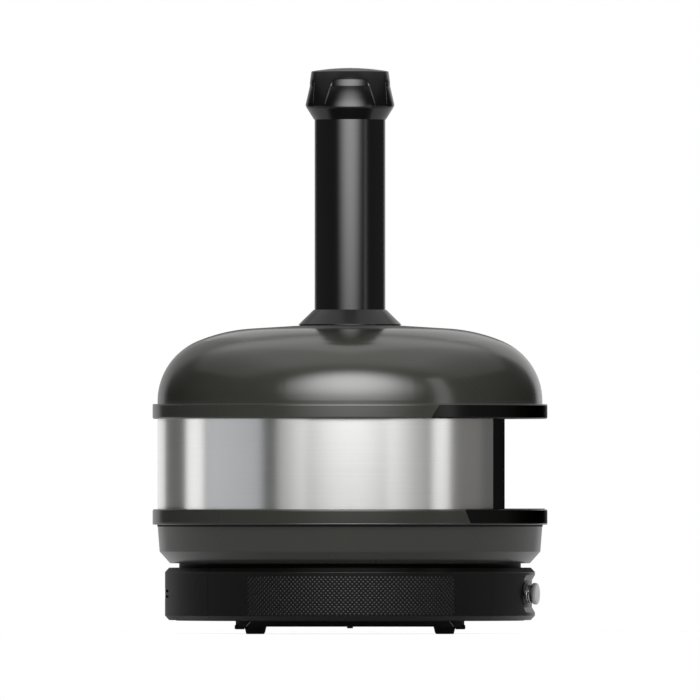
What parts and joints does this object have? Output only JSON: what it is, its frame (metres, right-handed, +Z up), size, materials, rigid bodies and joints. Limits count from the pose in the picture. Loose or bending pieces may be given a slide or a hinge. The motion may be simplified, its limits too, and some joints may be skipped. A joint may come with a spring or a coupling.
{
  "type": "outdoor pizza oven",
  "caption": "Round gas pizza oven with a pressed dome, a steel band round the chamber, an open front mouth, a tall flue with a lift-off cap and a low base with control knobs.",
  "frame": {"origin": "centre of the oven on the floor, under the flue", "axes": "+Z up along the flue, +X out of the mouth, -Y to the left of a person who faces the mouth"},
  "size_m": [0.5666, 0.5666, 0.8119],
  "materials": {
    "olive_paint": "satin",
    "flue_black": "satin",
    "gloss_black": "gloss",
    "base_black": "fine grain",
    "under_black": "matt",
    "band_steel": "brushed round the body",
    "liner_steel": "dull, heat tinted",
    "burner_steel": "dull, heat tinted",
    "knob_silver": "satin",
    "knob_chrome": "polished",
    "knob_hub": "matt",
    "hearth_stone": "fine sandy",
    "fibre": "soft mineral fibre",
    "gas_brass": "machined",
    "spark_ceramic": "glazed white",
    "foot_rubber": "matt",
    "zinc_steel": "zinc plated"
  },
  "bodies": {
    "oven": {"base_deck": "base_black", "base_pan": "under_black", "collar_gasket": "foot_rubber", "collar_screws": "zinc_steel", "dome_insulation": "fibre", "dome_shell": "olive_paint", "flue_collar": "flue_black", "flue_spigot": "liner_steel", "flue_tube": "flue_black", "foot_brackets": "under_black", "foot_plate": "under_black", "foot_screws": "zinc_steel", "front_left_foot": "foot_rubber", "front_panel": "base_black", "front_right_foot": "foot_rubber", "gas_inlet": "gas_brass", "gas_manifold": "gas_brass", "hearth_insulation": "fibre", "hearth_pan": "liner_steel", "inner_dome": "liner_steel", "left_burner": "burner_steel", "left_burner_feed": "burner_steel", "left_electrode": "spark_ceramic", "left_gas_valve": "gas_brass", "left_grip_panel": "base_black", "left_jamb": "gloss_black", "left_knob_bezel": "base_black", "left_stone": "hearth_stone", "lower_bowl": "olive_paint", "lower_rim": "olive_paint", "mouth_lintel": "gloss_black", "mouth_sill": "gloss_black", "neck_bolts": "zinc_steel", "neck_ring": "base_black", "plate_bolt": "under_black", "rear_left_foot": "foot_rubber", "rear_panel": "base_black", "rear_right_foot": "foot_rubber", "right_burner": "burner_steel", "right_burner_feed": "burner_steel", "right_electrode": "spark_ceramic", "right_gas_valve": "gas_brass", "right_grip_panel": "base_black", "right_jamb": "gloss_black", "right_knob_bezel": "base_black", "right_stone": "hearth_stone", "steel_band": "band_steel", "tie_rods": "zinc_steel", "upper_rim": "olive_paint", "wall_insulation": "fibre"},
    "left_push": {"left_spring_seat": "zinc_steel"},
    "left_knob": {"left_valve_stem": "knob_hub", "left_knob_skirt": "knob_chrome", "left_knob_cap": "knob_silver"},
    "right_push": {"right_spring_seat": "zinc_steel"},
    "right_knob": {"right_valve_stem": "knob_hub", "right_knob_skirt": "knob_chrome", "right_knob_cap": "knob_silver"},
    "flue_cap": {"chimney_cap": "flue_black", "cap_sleeve": "liner_steel"}
  },
  "joints": [
    {"name": "left_knob_push", "type": "slide", "parent": "oven", "child": "left_push", "axis": [-0.9588, 0.284, 0], "range_m": [0, 0.0035], "stiffness_N_per_m": 1200},
    {"name": "left_knob_turn", "type": "hinge", "parent": "left_push", "child": "left_knob", "pos_m": [0.25044, -0.07419, 0.0573], "axis": [0.9588, -0.284, 0], "range_deg": [0, 225]},
    {"name": "right_knob_push", "type": "slide", "parent": "oven", "child": "right_push", "axis": [-0.9588, -0.284, 0], "range_m": [0, 0.0035], "stiffness_N_per_m": 1200},
    {"name": "right_knob_turn", "type": "hinge", "parent": "right_push", "child": "right_knob", "pos_m": [0.25044, 0.07419, 0.0573], "axis": [0.9588, 0.284, 0], "range_deg": [0, 225]},
    {"name": "cap_lift", "type": "slide", "parent": "oven", "child": "flue_cap", "axis": [0, 0, 1], "range_m": [0, 0.09]}
  ]
}
